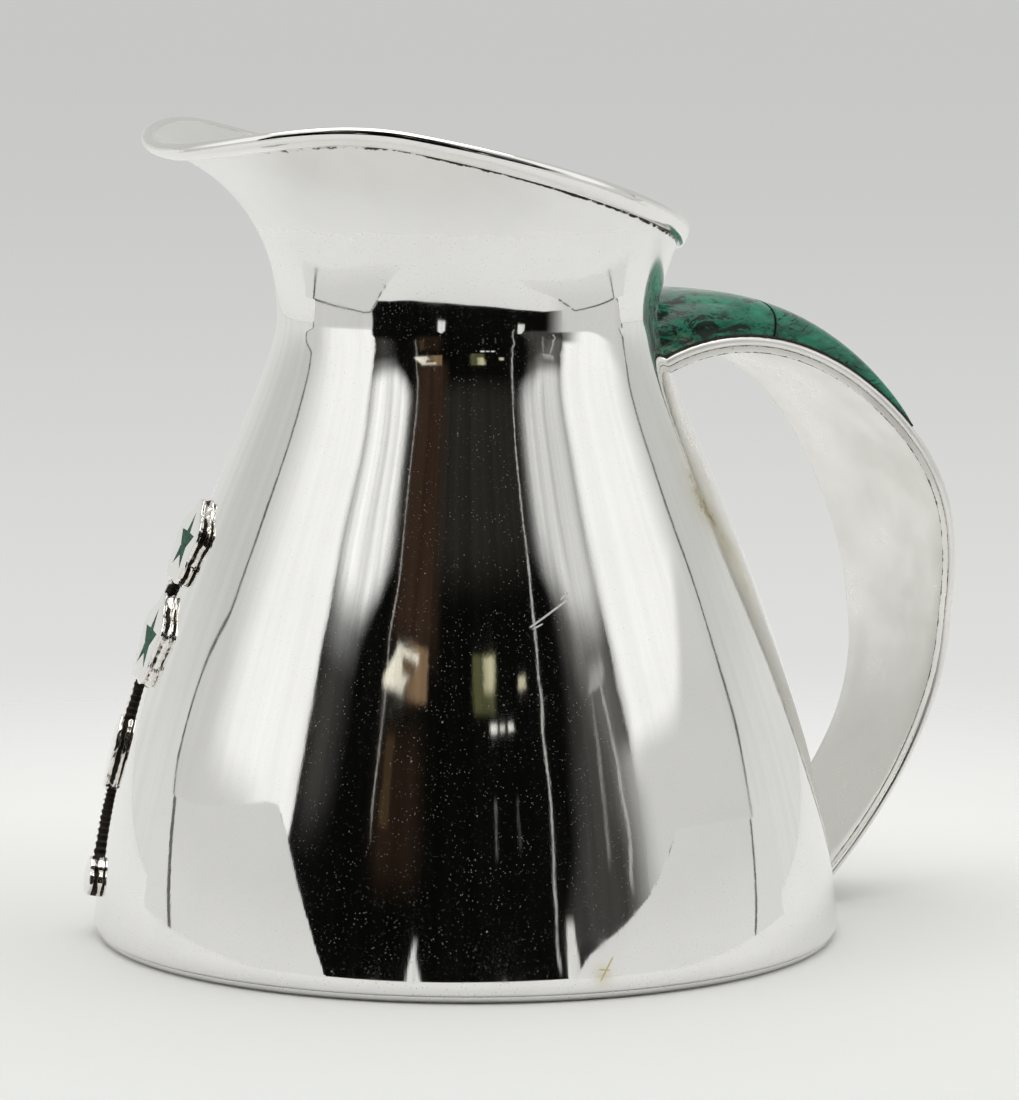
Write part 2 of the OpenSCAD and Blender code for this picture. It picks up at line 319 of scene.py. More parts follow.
def seam_width(angle):
    """Width of the solder under the rim, wider where the lip leans further out."""
    return min(1.4 / math.tan(lip_slope(angle) - math.radians(9)), 3.4) - 0.35


def make_body():
    outside, inside = [], []
    for angle in ANGLES:
        line = wall_outside(angle)
        last = len(line) - 1
        placed, backed = [], []
        for k, p in enumerate(line):
            out = -left_of(line[min(k + 1, last)] - line[max(k - 1, 0)])
            lift = hand_raised(turned(p, angle))
            placed.append(turned(p + lift * out, angle))
            if k > FOOT_RINGS + 1:
                backed.append(turned(p + (lift - SHEET) * out, angle))
        backed.insert(0, turned(Vector((FOOT_RADIUS - SHEET, PLATE)), angle))
        outside.append(placed)
        inside.append(backed[::-1])
    columns = [a + b for a, b in zip(outside, inside)]
    rings = [list(ring) for ring in zip(*columns)]
    shown = len(outside[0])
    seam, yellow = [], []
    for k, ring in enumerate(rings):
        for angle, p in zip(ANGLES, ring):
            edge = turned(rim_point(angle) - RIM_BAND * rim_direction(angle), angle)
            beyond = max(0.0, (p - edge).length - seam_width(angle))
            dark = seam_depth(angle) * math.exp(-beyond / 0.3)
            seam.append(dark if k < shown else 0.0)
            spots = [s * near(p, a, h, r) for a, h, r, s in YELLOWED] if k < shown else [0.0]
            yellow.append(min(1.0, sum(spots)))
    make_ringed("body_shell", rings, "body_silver", {"seam": seam, "yellow": yellow})


def make_base():
    rings = [[turned(Vector(p), angle) for angle in ANGLES] for p in BASE_SECTION]
    make_swept("base_plate", rings, "body_silver")


def rim_section():
    """Outline of the rim moulding as (out from the wall, along the wall)."""
    foot = [(-0.02, -RIM_BAND), (0.75, -RIM_BAND), (1.15, -RIM_BAND + 0.12), (1.38, -RIM_BAND + 0.45)]
    face = [(1.5, -3.2), (1.56, -2.6), (1.6, -2.0)]
    bead = []
    for k in range(1, 24):
        a = math.radians(7.5 * k)
        bead.append((0.1 + 1.5 * math.cos(a), -1.6 + 2.0 * math.sin(a)))
    back = [(-1.3, -1.9), (-SHEET - 0.06, -RIM_COVER - 1.3), (-0.02, -RIM_COVER - 1.3)]
    return foot + face + bead + back


def make_rim():
    section = rim_section()
    rings = []
    for out, up in section:
        ring = []
        for angle in ANGLES:
            along = rim_direction(angle)
            p = rim_point(angle) - out * left_of(along) + up * along
            ring.append(turned(p, angle))
        rings.append(ring)
    low = [1.0 if up < -RIM_BAND + 0.2 else 0.0 for out, up in section]
    seam = [s * seam_depth(angle) for s in low for angle in ANGLES]
    make_ringed("rim_band", rings, "rim_silver", {"seam": seam}, sharp=50.0)


# ---------- handle ----------

STRAP_PARTS = (STRAP_TOP, STRAP_LOW)
STRAP_SAMPLES = 400


def strap_table():
    """Running length along the strap's inner line at even steps of its two curves."""
    run, total, last = [0.0], 0.0, STRAP_TOP[0]
    for i in range(1, 2 * STRAP_SAMPLES + 1):
        part, t = divmod(i / STRAP_SAMPLES, 1)
        p = curve(STRAP_PARTS[int(part)], t) if part < 2 else STRAP_LOW[3]
        total += (p - last).length
        run.append(total)
        last = p
    return run


STRAP_RUN = strap_table()
STRAP_LENGTH = STRAP_RUN[-1]


def strap_at(share):
    """Place on the strap's inner line and the direction out of its face."""
    want = min(max(share, 0.0), 1.0) * STRAP_LENGTH
    k = min(max(bisect.bisect(STRAP_RUN, want), 1), 2 * STRAP_SAMPLES)
    step = (want - STRAP_RUN[k - 1]) / (STRAP_RUN[k] - STRAP_RUN[k - 1])
    whole = (k - 1 + step) / STRAP_SAMPLES
    part = min(int(whole), 1)
    t = whole - part
    p = STRAP_PARTS[part]
    tangent = ((1 - t) ** 2 * (p[1] - p[0]) + 2 * t * (1 - t) * (p[2] - p[1]) + t * t * (p[3] - p[2]))
    tangent.normalize()
    beyond = (share - min(max(share, 0.0), 1.0)) * STRAP_LENGTH
    return curve(p, t) + beyond * tangent, left_of(tangent)


def strap_width(share):
    """Wide at the top, with a shoulder before the crest, then narrowing to the lower end."""
    shoulder = STRAP_SHOULDER * math.exp(-(((share - 0.42) / 0.11) ** 2))
    return mix(STRAP_TOP_WIDTH, STRAP_END_WIDTH, smooth((share - 0.46) / 0.32)) + shoulder


def strap_layer(share):
    return mix(1.0, STRAP_THIN, smooth((share - 0.6) / 0.4))


def on_strap(share, across, out):
    p, outward = strap_at(share)
    q = p + out * outward
    return Vector((q.x, across, q.y))


def gap(point):
    """How far a point stands off the body's outside."""
    return math.hypot(point.x, point.y) - wall_radius(point.z)


def meets_body(section, index, inner, outer):
    """Share at which one line of a section reaches EMBED into the body."""
    for _ in range(HALVINGS):
        middle = (inner + outer) / 2
        if gap(on_strap(middle, *section(middle)[index])) < -EMBED:
            inner = middle
        else:
            outer = middle
    return (inner + outer) / 2


def strap_rings(section, start, finish, steps):
    """Rings along the strap; None as an end runs each line on until it meets the body."""
    count = len(section(0.3))
    starts = [meets_body(section, i, -0.12, 0.12) if start is None else start for i in range(count)]
    ends = [meets_body(section, i, 1.06, 0.88) if finish is None else finish for i in range(count)]
    rings = []
    for k in range(steps + 1):
        shares = [mix(a, b, k / steps) for a, b in zip(starts, ends)]
        rings.append([on_strap(u, *section(u)[i]) for i, u in enumerate(shares)])
    return rings


def inner_section(share):
    """The inner layer: flat, with eased corners."""
    half = strap_width(share) / 2 - 0.15
    high = STRAP_INNER * strap_layer(share)
    under = [(half * (1 - 2 * k / STRAP_COLUMNS) * 0.985, 0.0) for k in range(STRAP_COLUMNS + 1)]
    left = [(-half + 0.1, 0.06), (-half, 0.3), (-half, high - 0.3), (-half, high)]
    right = [(half, high), (half, high - 0.3), (half, 0.3), (half - 0.1, 0.06)]
    return under + left + right


def outer_section(share):
    """The outer layer: its long edges are rolled round and stand a little proud."""
    half = strap_width(share) / 2 - 0.45
    low = STRAP_INNER * strap_layer(share)
    high = STRAP_TOTAL * strap_layer(share)
    middle, reach = (low + high) / 2, (high - low) / 2
    arc = [math.radians(90 - 15 * k) for k in range(13)]
    right = [(half + 0.8 * math.cos(a), middle + reach * math.sin(a)) for a in arc]
    left = [(-x, y) for x, y in reversed(right)]
    top = [(half * (-1 + 2 * k / STRAP_COLUMNS), high) for k in range(1, STRAP_COLUMNS)]
    bottom = [(half * (1 - 2 * k / STRAP_COLUMNS), low) for k in range(1, STRAP_COLUMNS)]
    return right + bottom + left + top


def worn(point):
    """A point moved by a little hand wear and unevenness."""
    slow = Vector([noise.noise(point * 0.05 + Vector((9.3, 1.5, 7.9)) * k) for k in range(3)])
    return point + Vector((0, 0.05 * noise.noise(point * 0.13), 0)) + 0.03 * slow


# Tarnish on the lines of each section that lie in a seam or a sharp corner
INNER_TARNISH = {9: 0.9, 10: 0.45, 12: 0.8, 13: 0.8, 15: 0.45, 16: 0.9}
OUTER_TARNISH = {11: 0.75, 12: 0.75, 20: 0.75, 21: 0.75}


def make_handle():
    for name, section, tarnish in (("handle_inner_band", inner_section, INNER_TARNISH),
                                   ("handle_outer_band", outer_section, OUTER_TARNISH)):
        rings = [[worn(p) for p in ring] for ring in strap_rings(section, None, None, STRAP_STEPS)]
        row = [tarnish.get(i, 0.0) for i in range(len(rings[0]))]
        seam = row * len(rings) + [0.0, 0.0]
        make_swept(name, rings, "handle_silver", {"seam": seam}, sharp=50.0)


# ---------- stone ----------


def stone_section(share):
    half = strap_width(share) / 2 - STONE_INSET
    low = STRAP_TOTAL + CEMENT
    rise = STONE_HEIGHT * max(0.003, 1 - share / STONE_SHARE) ** STONE_FALL
    top = []
    for k in range(49):
        a = math.pi * (1 - k / 48)
        c, s = math.cos(a), math.sin(a)
        top.append((half * math.copysign(abs(c) ** CUSHION, c), low + 0.15 + rise * abs(s) ** CUSHION))
    return [(-half, low)] + top + [(half, low)]


def make_stones():
    for name, start, finish, steps in (("neck_stone", None, STONE_JOINT - JOINT_GAP, 60),
                                       ("crest_stone", STONE_JOINT + JOINT_GAP, STONE_SHARE, 90)):
        rings = strap_rings(stone_section, start, finish, steps)
        joint = [1.0 if (k == 0 and start) or (k == steps and not start) else 0.0
                 for k in range(steps + 1) for _ in rings[0]]
        make_swept(name, rings, "green_stone", {"joint": joint + [0.0, 0.0]}, sharp=60.0)


def cement_section(share):
    half = strap_width(share) / 2 - 0.25
    top = STRAP_TOTAL + CEMENT + 0.12
    low = STRAP_TOTAL - 0.1
    return [(-half, low), (-half - 0.1, (low + top) / 2), (-half + 0.1, top),
            (half - 0.1, top), (half + 0.1, (low + top) / 2), (half, low)]


def make_cement():
    rings = strap_rings(cement_section, None, STONE_SHARE + 0.004, CEMENT_STEPS)
    for ring in rings:
        for p in ring:
            squeeze = 0.3 * noise.noise(p * 0.6)
            p.y += math.copysign(squeeze, p.y)
    make_swept("stone_cement_bed", rings, "dark_cement")


# ---------- flowers ----------


def wall_share(height):
    low, high = 0.0, 1.0
    for _ in range(HALVINGS):
        middle = (low + high) / 2
        if curve(WALL_CURVE, middle).y < height:
            low = middle
        else:
            high = middle
    return low


def wall_frame(height):
    """The wall's point at a height, its direction up and its direction out."""
    t = wall_share(height)
    p = curve(WALL_CURVE, t)
    up = (curve(WALL_CURVE, t + 0.001) - p).normalized()
    return p, up, -left_of(up)


def on_body(angle, height, lift):
    p, _, out = wall_frame(height)
    return turned(p + lift * out, angle)


def laid(at, point, lift, flat=1.0):
    """A flat shape's point (across, up) laid on the body round a place.

    At flat 0 it follows the body; at flat 1 it stays level while the body falls away from under
    it, and leans so that its far edge stands higher.
    """
    p, up, _ = wall_frame(at[1])
    lift += flat * (point[0] ** 2 / (2 * p.x) + PLATE_LEAN * point[0])
    return on_body(at[0] + math.degrees(point[0] / p.x), at[1] + point[1] * up.y, lift)


def petals(radius, a):
    r = radius * (0.84 + 0.16 * math.cos(2.5 * (a - math.pi / 2)) ** 2)
    return Vector((r * math.cos(a), r * math.sin(a)))


def bud_outline(radius, a):
    r = radius * (0.76 + 0.24 * abs(math.cos(1.5 * (a - math.pi / 2))) ** 0.7)
    return Vector((1.12 * r * math.cos(a), r * math.sin(a)))


def leaf_outline(size, a):
    c = math.cos(a)
    return Vector((size[0] * c * abs(c) ** 0.15, size[1] * math.sin(a)))


def star(radius, a):
    """A point of a five-armed star with straight sides, at an angle from its centre."""
    arm = math.radians(36)
    turn = (a - math.pi / 2) % (2 * arm)
    turn = min(turn, 2 * arm - turn)
    tip, waist = Vector((1, 0)), STAR_WAIST * Vector((math.cos(arm), math.sin(arm)))
    side = waist - tip
    ray = Vector((math.cos(turn), math.sin(turn)))
    r = (tip.x * side.y - tip.y * side.x) / (ray.x * side.y - ray.y * side.x)
    return radius * r * Vector((math.cos(a), math.sin(a)))


def cast_plate(at, outline, height, top_rings):
    """Rings of a small cast plate: uneven side, rolled top edge, then the given top rings."""
    side = ((1.02, -0.25), (1.03, 0.25), (0.98, 0.35 * height), (0.97, 0.6 * height), (0.99, height - 0.8),
            (1.0, height - 0.4), (0.985, height - 0.12), (0.955, height - 0.02), (0.92, height))
    rings = []
    for scale, lift in side:
        ring = []
        for a in OUTLINE_ANGLES:
            p = scale * outline(a)
            rough = 0.3 * noise.noise(Vector((p.x, p.y, 2 * lift + at[1])) * 0.6)
            flat = min(max(lift / (height - 0.8), 0.0), 1.0)
            ring.append(laid(at, p * (1 + rough / max(p.length, 1.0)), lift, flat))
        rings.append(ring)
    for shape, lift in top_rings:
        rings.append([laid(at, shape(a), lift) for a in OUTLINE_ANGLES])
    wall = [0.2, 0.5, 1.0, 1.0, 0.6, 0.05, 0.0, 0.0, 0.0] + [0.0] * len(top_rings)
    return rings, [w for w in wall for _ in OUTLINE_ANGLES] + [1.0, 0.0]


def make_flower(name, at, radius):
    recess = STAR_REACH * radius
    floor, top = FLOWER_HEIGHT - INLAY_DEPTH - 0.3, FLOWER_HEIGHT - 0.08
    rings, wall = cast_plate(at, lambda a: petals(radius, a), FLOWER_HEIGHT, (
        (lambda a: star(recess, a) * 1.12, FLOWER_HEIGHT + 0.02),
        (lambda a: star(recess, a), FLOWER_HEIGHT),
        (lambda a: star(recess, a), floor)))
    make_swept(name + "_flower", rings, "oxidised_silver", {"wall": wall}, sharp=50.0)
    levels = ((0.97, floor), (0.97, top - 0.06), (0.9, top))
    rings = [[laid(at, scale * star(recess, a), lift) for a in OUTLINE_ANGLES] for scale, lift in levels]
    joint = [0.55] * (len(rings) * OUTLINE + 2)
    make_swept(name + "_star_inlay", rings, "green_stone", {"joint": joint})


def make_leaves():
    for name, at, outline in (("leaf", LEAF_AT, lambda a: leaf_outline(LEAF_SIZE, a)),
                              ("bud", BUD_AT, lambda a: bud_outline(BUD_RADIUS, a))):
        rings, wall = cast_plate(at, outline, LEAF_HEIGHT, (
            (lambda a: 0.6 * outline(a), LEAF_HEIGHT + 0.12),
            (lambda a: 0.2 * outline(a), LEAF_HEIGHT + 0.18)))
        make_swept(name, rings, "oxidised_silver", {"wall": wall}, sharp=50.0)


def make_stem(name, line):
    """A milled half-round wire along a curve of (angle, height) places."""
    rings, wall = [], []
    length = sum((curve(line, (i + 1) / 20) - curve(line, i / 20)).length for i in range(20))
    for i in range(STEM_STEPS + 1):
        p = curve(line, i / STEM_STEPS)
        q = curve(line, i / STEM_STEPS + 0.01)
        radius = wall_frame(p.y)[0].x
        step = Vector((math.radians(q.x - p.x) * radius, q.y - p.y))
        across = left_of(step)
        ridge = 1 + MILLING_DEPTH * math.cos(2 * math.pi * i / STEM_STEPS * length / MILLING_PITCH)
        ring = []
        for k in range(STEM_SIDES + 1):
            a = math.pi * k / STEM_SIDES
            side = STEM_REACH * ridge * math.cos(a) * across
            lift = STEM_HEIGHT * ridge * math.sin(a) - STEM_SUNK
            ring.append(on_body(p.x + math.degrees(side.x / radius), p.y + side.y, lift))
            wall.append(1.5 - max(0.0, math.sin(a)) ** 5 * (0.9 + 2.5 * (ridge - 1)))
        rings.append(ring)
    make_swept(name, rings, "oxidised_silver", {"wall": wall + [1.0, 1.0]}, sharp=60.0)


# ---------- materials ----------


def add(tree, kind, inputs=None, **settings):
    """A node with its settings made and its inputs given as values or linked sockets."""
    made = tree.nodes.new("ShaderNode" + kind)
    for key, value in settings.items():
        setattr(made, key, value)
    for key, value in (inputs or {}).items():
        if isinstance(value, bpy.types.NodeSocket):
            tree.links.new(value, made.inputs[key])
        else:
            made.inputs[key].default_value = value
    return made


def new_material(name):
    material = bpy.data.materials.new(name)
    material.use_nodes = True
    material.node_tree.nodes.clear()
    MATERIALS[name] = material
    return material, material.node_tree


def end_with(tree, shader):
    add(tree, "OutputMaterial", {"Surface": shader})


def end_with_bumped(tree, color, roughness, height, strength, distance, **more):
    """Ends a material with an ordinary surface, which the height bumps."""
    bump = add(tree, "Bump", {"Strength": strength, "Distance": distance, "Height": height})
    inputs = {"Base Color": color, "Roughness": roughness, "Normal": bump.outputs[0], **more}
    end_with(tree, add(tree, "BsdfPrincipled", inputs).outputs[0])


def emission(tree, color, strength=1.0):
    return add(tree, "Emission", {"Color": color, "Strength": strength}).outputs[0]


def math_node(tree, operation, a, b=0.0, clamp=False):
    return add(tree, "Math", {0: a, 1: b}, operation=operation, use_clamp=clamp).outputs[0]


def plus(tree, a, b):
    return math_node(tree, "ADD", a, b)


def minus(tree, a, b):
    return math_node(tree, "SUBTRACT", a, b)


def times(tree, a, b):
    return math_node(tree, "MULTIPLY", a, b)


def less(tree, a, b):
    """One share taken from another, never under nothing."""
    return math_node(tree, "SUBTRACT", a, b, clamp=True)


def strongest(tree, first, *others):
    for other in others:
        first = math_node(tree, "MAXIMUM", first, other)
    return first


def ramp(tree, value, low, high, to_low=0.0, to_high=1.0, kind="SMOOTHSTEP"):
    inputs = {"Value": value, "From Min": low, "From Max": high, "To Min": to_low, "To Max": to_high}
    return add(tree, "MapRange", inputs, interpolation_type=kind).outputs["Result"]


def blend_color(tree, share, a, b):
    made = add(tree, "Mix", data_type="RGBA")
    for socket, value in ((made.inputs[0], share), (made.inputs[6], a), (made.inputs[7], b)):
        if isinstance(value, bpy.types.NodeSocket):
            tree.links.new(value, socket)
        else:
            socket.default_value = value if socket.name == "Factor" else (*value, 1.0)
    return made.outputs[2]


def painted(tree, color, *coats):
    """A colour under coats of others, each as (share, colour)."""
    for share, coat in coats:
        color = blend_color(tree, share, color, coat)
    return color


def noise_node(tree, place, scale, detail, rough, distortion=0.0):
    inputs = {"Vector": place, "Scale": scale, "Detail": detail, "Roughness": rough,
              "Distortion": distortion}
    return add(tree, "TexNoise", inputs).outputs[0]


def stretched(tree, place, scale):
    return add(tree, "Mapping", {"Vector": place, "Scale": scale}).outputs[0]


def layer(tree, name):
    return add(tree, "Attribute", attribute_name=name).outputs["Fac"]


def object_place(tree):
    return add(tree, "TexCoord").outputs["Object"]


def specks(tree, place, scale, size, share):
    """Small round dots scattered over a share of the cells of a grid."""
    cells = add(tree, "TexVoronoi", {"Vector": place, "Scale": scale, "Randomness": 1.0})
    chosen = math_node(tree, "LESS_THAN", cells.outputs["Color"], share)
    dot = ramp(tree, cells.outputs["Distance"], size, size * 0.4)
    return times(tree, chosen, dot)


def stroke(tree, place, start, end, width):
    """A thin straight mark on the body."""
    start, end = Vector(start) * MM, Vector(end) * MM
    length = (end - start).length
    along = (end - start).normalized()
    side = along.cross(Vector((start.x, start.y, 0.0)).normalized())
    away = add(tree, "VectorMath", {0: place, 1: (start + end) / 2}, operation="SUBTRACT").outputs[0]
    across = add(tree, "VectorMath", {0: away, 1: side}, operation="DOT_PRODUCT").outputs["Value"]
    near_line = ramp(tree, math_node(tree, "ABSOLUTE", across), width * MM, 0.3 * width * MM)
    reach = add(tree, "VectorMath", {0: away}, operation="LENGTH").outputs["Value"]
    return times(tree, near_line, ramp(tree, reach, length / 2, length / 2 - MM))


# Marks on the body, as (start, end, width) in millimetres
SCRATCHES = (
    ((-18.3, -59.7, 73.4), (-8.8, -59.6, 79.0), 0.26),
    ((-17.9, -59.8, 73.1), (-14.8, -59.8, 74.4), 0.22),
    ((-11.0, -59.6, 78.6), (-8.7, -59.5, 80.4), 0.24),
    ((-20.2, -58.9, 76.2), (-18.8, -58.9, 77.2), 0.24),
)
YELLOW_STROKES = (
    ((-12.4, -79.0, 3.6), (-9.0, -78.8, 9.0), 0.26),
    ((-12.8, -79.0, 6.4), (-9.6, -78.9, 6.0), 0.22),
)


SILVER = (0.93, 0.925, 0.905)
RIM_SILVER = (0.93, 0.92, 0.90)
HANDLE_SILVER = (0.885, 0.875, 0.84)
YELLOW = (0.66, 0.61, 0.42)
BROWN_STAIN = (0.40, 0.34, 0.17)
TARNISH = (0.035, 0.028, 0.018)
PIT = (0.10, 0.085, 0.06)
DUST = (0.80, 0.79, 0.76)
SCRATCH = (0.85, 0.85, 0.83)
DRIP = (0.55, 0.45, 0.16)


def silver_material(name, tint, roughness, seam_strength, dust, satin=0.0, strokes=False):
    """Polished silver: hairlines, pits, dust, yellowing, and dark tarnish left in seams."""
    _, tree = new_material(name)
    place = object_place(tree)
    cloud = noise_node(tree, place, 55.0, 4.0, 0.6)
    grain = noise_node(tree, place, 260.0, 3.0, 0.65)
    hair = noise_node(tree, stretched(tree, place, (900.0, 900.0, 22.0)), 1.0, 2.0, 0.7)
    streaks = noise_node(tree, stretched(tree, place, (110.0, 110.0, 16.0)), 1.0, 4.0, 0.65)
    pits = specks(tree, place, 95.0, 0.034, 0.10)
    broken = noise_node(tree, place, 520.0, 4.0, 0.75)
    patchy = noise_node(tree, place, 70.0, 2.0, 0.5)

    seam = times(tree, layer(tree, "seam"), seam_strength)
    seam = plus(tree, seam, ramp(tree, broken, 0.3, 0.7, -0.36, 0.30, "LINEAR"))
    seam = plus(tree, seam, ramp(tree, patchy, 0.35, 0.65, -0.12, 0.10, "LINEAR"))
    seam_mask = ramp(tree, seam, 0.60, 0.82)
    yellow = times(tree, layer(tree, "yellow"), ramp(tree, cloud, 0.3, 0.7, 0.35, 1.0))
    stain = ramp(tree, plus(tree, layer(tree, "yellow"), broken), 1.12, 1.5)

    cloudy = tuple(0.965 * c for c in tint)
    color = painted(tree, tint, (ramp(tree, cloud, 0.35, 0.75), cloudy), (yellow, YELLOW),
                    (stain, BROWN_STAIN), (seam_mask, TARNISH), (times(tree, pits, 0.7), PIT))
    dull = strongest(tree, seam_mask, times(tree, pits, 0.6))
    metallic = less(tree, 1.0, dull)

    fine = times(tree, specks(tree, place, 1700.0, 0.25, 0.6), 0.75)
    motes = strongest(tree, specks(tree, place, 620.0, 0.15, 0.16), fine)
    dusty = times(tree, motes, ramp(tree, grain, 0.38, 0.60, 0.15 * dust, dust))
    color = blend_color(tree, dusty, color, DUST)
    metallic = less(tree, metallic, dusty)

    rough = ramp(tree, cloud, 0.3, 0.7, roughness, roughness * 1.8)
    rough = plus(tree, rough, ramp(tree, hair, 0.6, 0.8, 0.0, 0.04))
    rough = plus(tree, rough, ramp(tree, streaks, 0.50, 0.72, 0.0, 0.035))
    rough = strongest(tree, rough, times(tree, dull, 0.7), times(tree, yellow, 0.22))
    if satin:
        height = add(tree, "SeparateXYZ", {0: place}).outputs[2]
        rough = plus(tree, rough, ramp(tree, height, 0.138, 0.158, 0.0, satin))
    if strokes:
        scratch = strongest(tree, *(stroke(tree, place, *mark) for mark in SCRATCHES))
        rough = strongest(tree, rough, times(tree, scratch, 0.6))
        color = blend_color(tree, scratch, color, SCRATCH)
        metallic = less(tree, metallic, times(tree, scratch, 0.75))
        drip = strongest(tree, *(stroke(tree, place, *mark) for mark in YELLOW_STROKES))
        color = blend_color(tree, times(tree, drip, 0.85), color, DRIP)

    raised = minus(tree, times(tree, hair, 0.35), times(tree, pits, 3.0))
    end_with_bumped(tree, color, rough, raised, 0.25, 0.00003, Metallic=metallic)


def oxidised_material():
    """Cast silver: polished faces, and sides blackened except where they were rubbed bright."""
    _, tree = new_material("oxidised_silver")
    place = object_place(tree)
    lumps = noise_node(tree, place, 170.0, 3.0, 0.6)
    fine = noise_node(tree, place, 1500.0, 2.0, 0.6)
    wall = layer(tree, "wall")
    dark = times(tree, wall, ramp(tree, lumps, 0.35, 0.65, 0.5, 1.15, "LINEAR"))
    mask = ramp(tree, dark, 0.56, 0.72)
    warm = times(tree, ramp(tree, wall, 0.02, 0.4), ramp(tree, lumps, 0.4, 0.6, 0.2, 0.9))
    color = painted(tree, (0.93, 0.915, 0.89), (warm, (0.87, 0.80, 0.71)), (mask, (0.022, 0.019, 0.016)))
    rough = ramp(tree, mask, 0.0, 1.0, 0.14, 0.45)
    height = plus(tree, lumps, times(tree, fine, 0.35))
    strength = ramp(tree, wall, 0.0, 1.0, 0.10, 0.6)
    end_with_bumped(tree, color, rough, height, strength, 0.0003, Metallic=1.0)


STONE_DARK_GREEN = (0.006, 0.110, 0.064)
STONE_GREEN = (0.016, 0.265, 0.155)
STONE_LIGHT_SPOT = (0.040, 0.38, 0.24)
STONE_DARK_SPOT = (0.002, 0.045, 0.027)
STONE_VEIN = (0.002, 0.018, 0.011)
STONE_CRACK = (0.002, 0.008, 0.006)
STONE_MATRIX = (0.30, 0.28, 0.16)
STONE_CEMENT_LINE = (0.004, 0.014, 0.010)
MATRIX_PLACE = (0.041, -0.021, 0.123)


def stone_material():
    """Polished green stone with dark veins and a patch of its brown matrix by the neck."""
    _, tree = new_material("green_stone")
    place = object_place(tree)
    along = stretched(tree, place, (1.0, 1.0, 2.1))
    large = noise_node(tree, along, 95.0, 5.0, 0.62, 0.8)
    small = noise_node(tree, along, 420.0, 4.0, 0.65, 0.4)
    veins = noise_node(tree, along, 130.0, 6.0, 0.72, 1.8)
    cracks = noise_node(tree, stretched(tree, place, (1.0, 0.6, 2.6)), 60.0, 5.0, 0.6, 1.0)
    spot = add(tree, "VectorMath", {0: place, 1: MATRIX_PLACE}, operation="DISTANCE")
    from_matrix = spot.outputs["Value"]
    from_crack = math_node(tree, "ABSOLUTE", minus(tree, cracks, 0.5))
    dark = plus(tree, veins, ramp(tree, from_matrix, 0.034, 0.008, -0.02, 0.08))
    matrix = times(tree, ramp(tree, from_matrix, 0.0065, 0.002), ramp(tree, small, 0.47, 0.6))
    joint = layer(tree, "joint")
    color = painted(tree, STONE_DARK_GREEN,
                    (ramp(tree, large, 0.35, 0.66), STONE_GREEN),
                    (ramp(tree, small, 0.52, 0.72, 0.0, 0.45), STONE_LIGHT_SPOT),
                    (ramp(tree, small, 0.46, 0.34, 0.0, 0.7), STONE_DARK_SPOT),
                    (ramp(tree, dark, 0.585, 0.65), STONE_VEIN),
                    (ramp(tree, from_crack, 0.012, 0.003), STONE_CRACK),
                    (matrix, STONE_MATRIX),
                    (joint, STONE_CEMENT_LINE))
    rough = plus(tree, ramp(tree, small, 0.3, 0.7, 0.12, 0.26), joint)
    end_with_bumped(tree, color, rough, small, 0.2, 0.0002, IOR=1.48)


def cement_material():
    _, tree = new_material("dark_cement")
    grit = noise_node(tree, object_place(tree), 1200.0, 4.0, 0.7)
    color = blend_color(tree, ramp(tree, grit, 0.45, 0.75), (0.008, 0.008, 0.006), (0.05, 0.045, 0.03))
    end_with_bumped(tree, color, 0.75, grit, 0.6, 0.0003)


# ---------- studio ----------

CAMERA_PLACE = Vector((-491.5, -905.2, 203.6))
CAMERA_HEADING = math.radians(28.5)
CAMERA_TILT = 6.553
CAMERA_ROLL = 0.1386
CAMERA_LENS = 171.116
CAMERA_SENSOR = 36.0
CAMERA_SHIFT = (0.04191, -0.01422)

SURROUND_RADIUS = 1500.0
SURROUND_LOW = -460.0
SURROUND_TOP = 2250.0
CIRCLE_SIDES = 96

# What stands round the pitcher, painted on a cylinder. Azimuths are in degrees from the camera's
# side and heights in millimetres. Each patch has its left and right edge as (low down, high up),
# the heights between which they lean, its softness sideways, its bottom and its top as (height,
# softness), and its colour.
TOP_COLOR = (1.0, 1.0, 0.99)
TOP_STRENGTH = 1.85
TABLE_COLOR = (0.86, 0.86, 0.855)
SEEN_TABLE_COLOR = (0.915, 0.915, 0.905)
SEEN_TABLE_RADIUS = 596.0
SEEN_TABLE_HEIGHT = -0.02
TABLE_HEIGHT = -0.05
TABLE_BORDER = 10.0
# dark strip round the table seen in the silver: painted shadow gap at the cover's edge
TABLE_SHADOW_GAP_COLOR = (0.10, 0.10, 0.095)
PALE = (0.57, 0.575, 0.555)
DARK = (0.003, 0.003, 0.0026)
LEFT_SHEET = (0.62, 0.62, 0.605)
RIGHT_SHEET = (0.60, 0.60, 0.585)
# painted shadow gap seen along the side sheets' far edges
FAR_EDGE_SHADOW = (0.10, 0.10, 0.09)
LAMP = (0.85, 0.85, 0.78)
LOW, HIGH = (-2000, 1), (5000, 1)  # further down and up than the silver can show


def upright(left, right, *rest):
    """A patch whose side edges don't lean."""
    return ((left, left), (right, right), (0, 1), *rest)


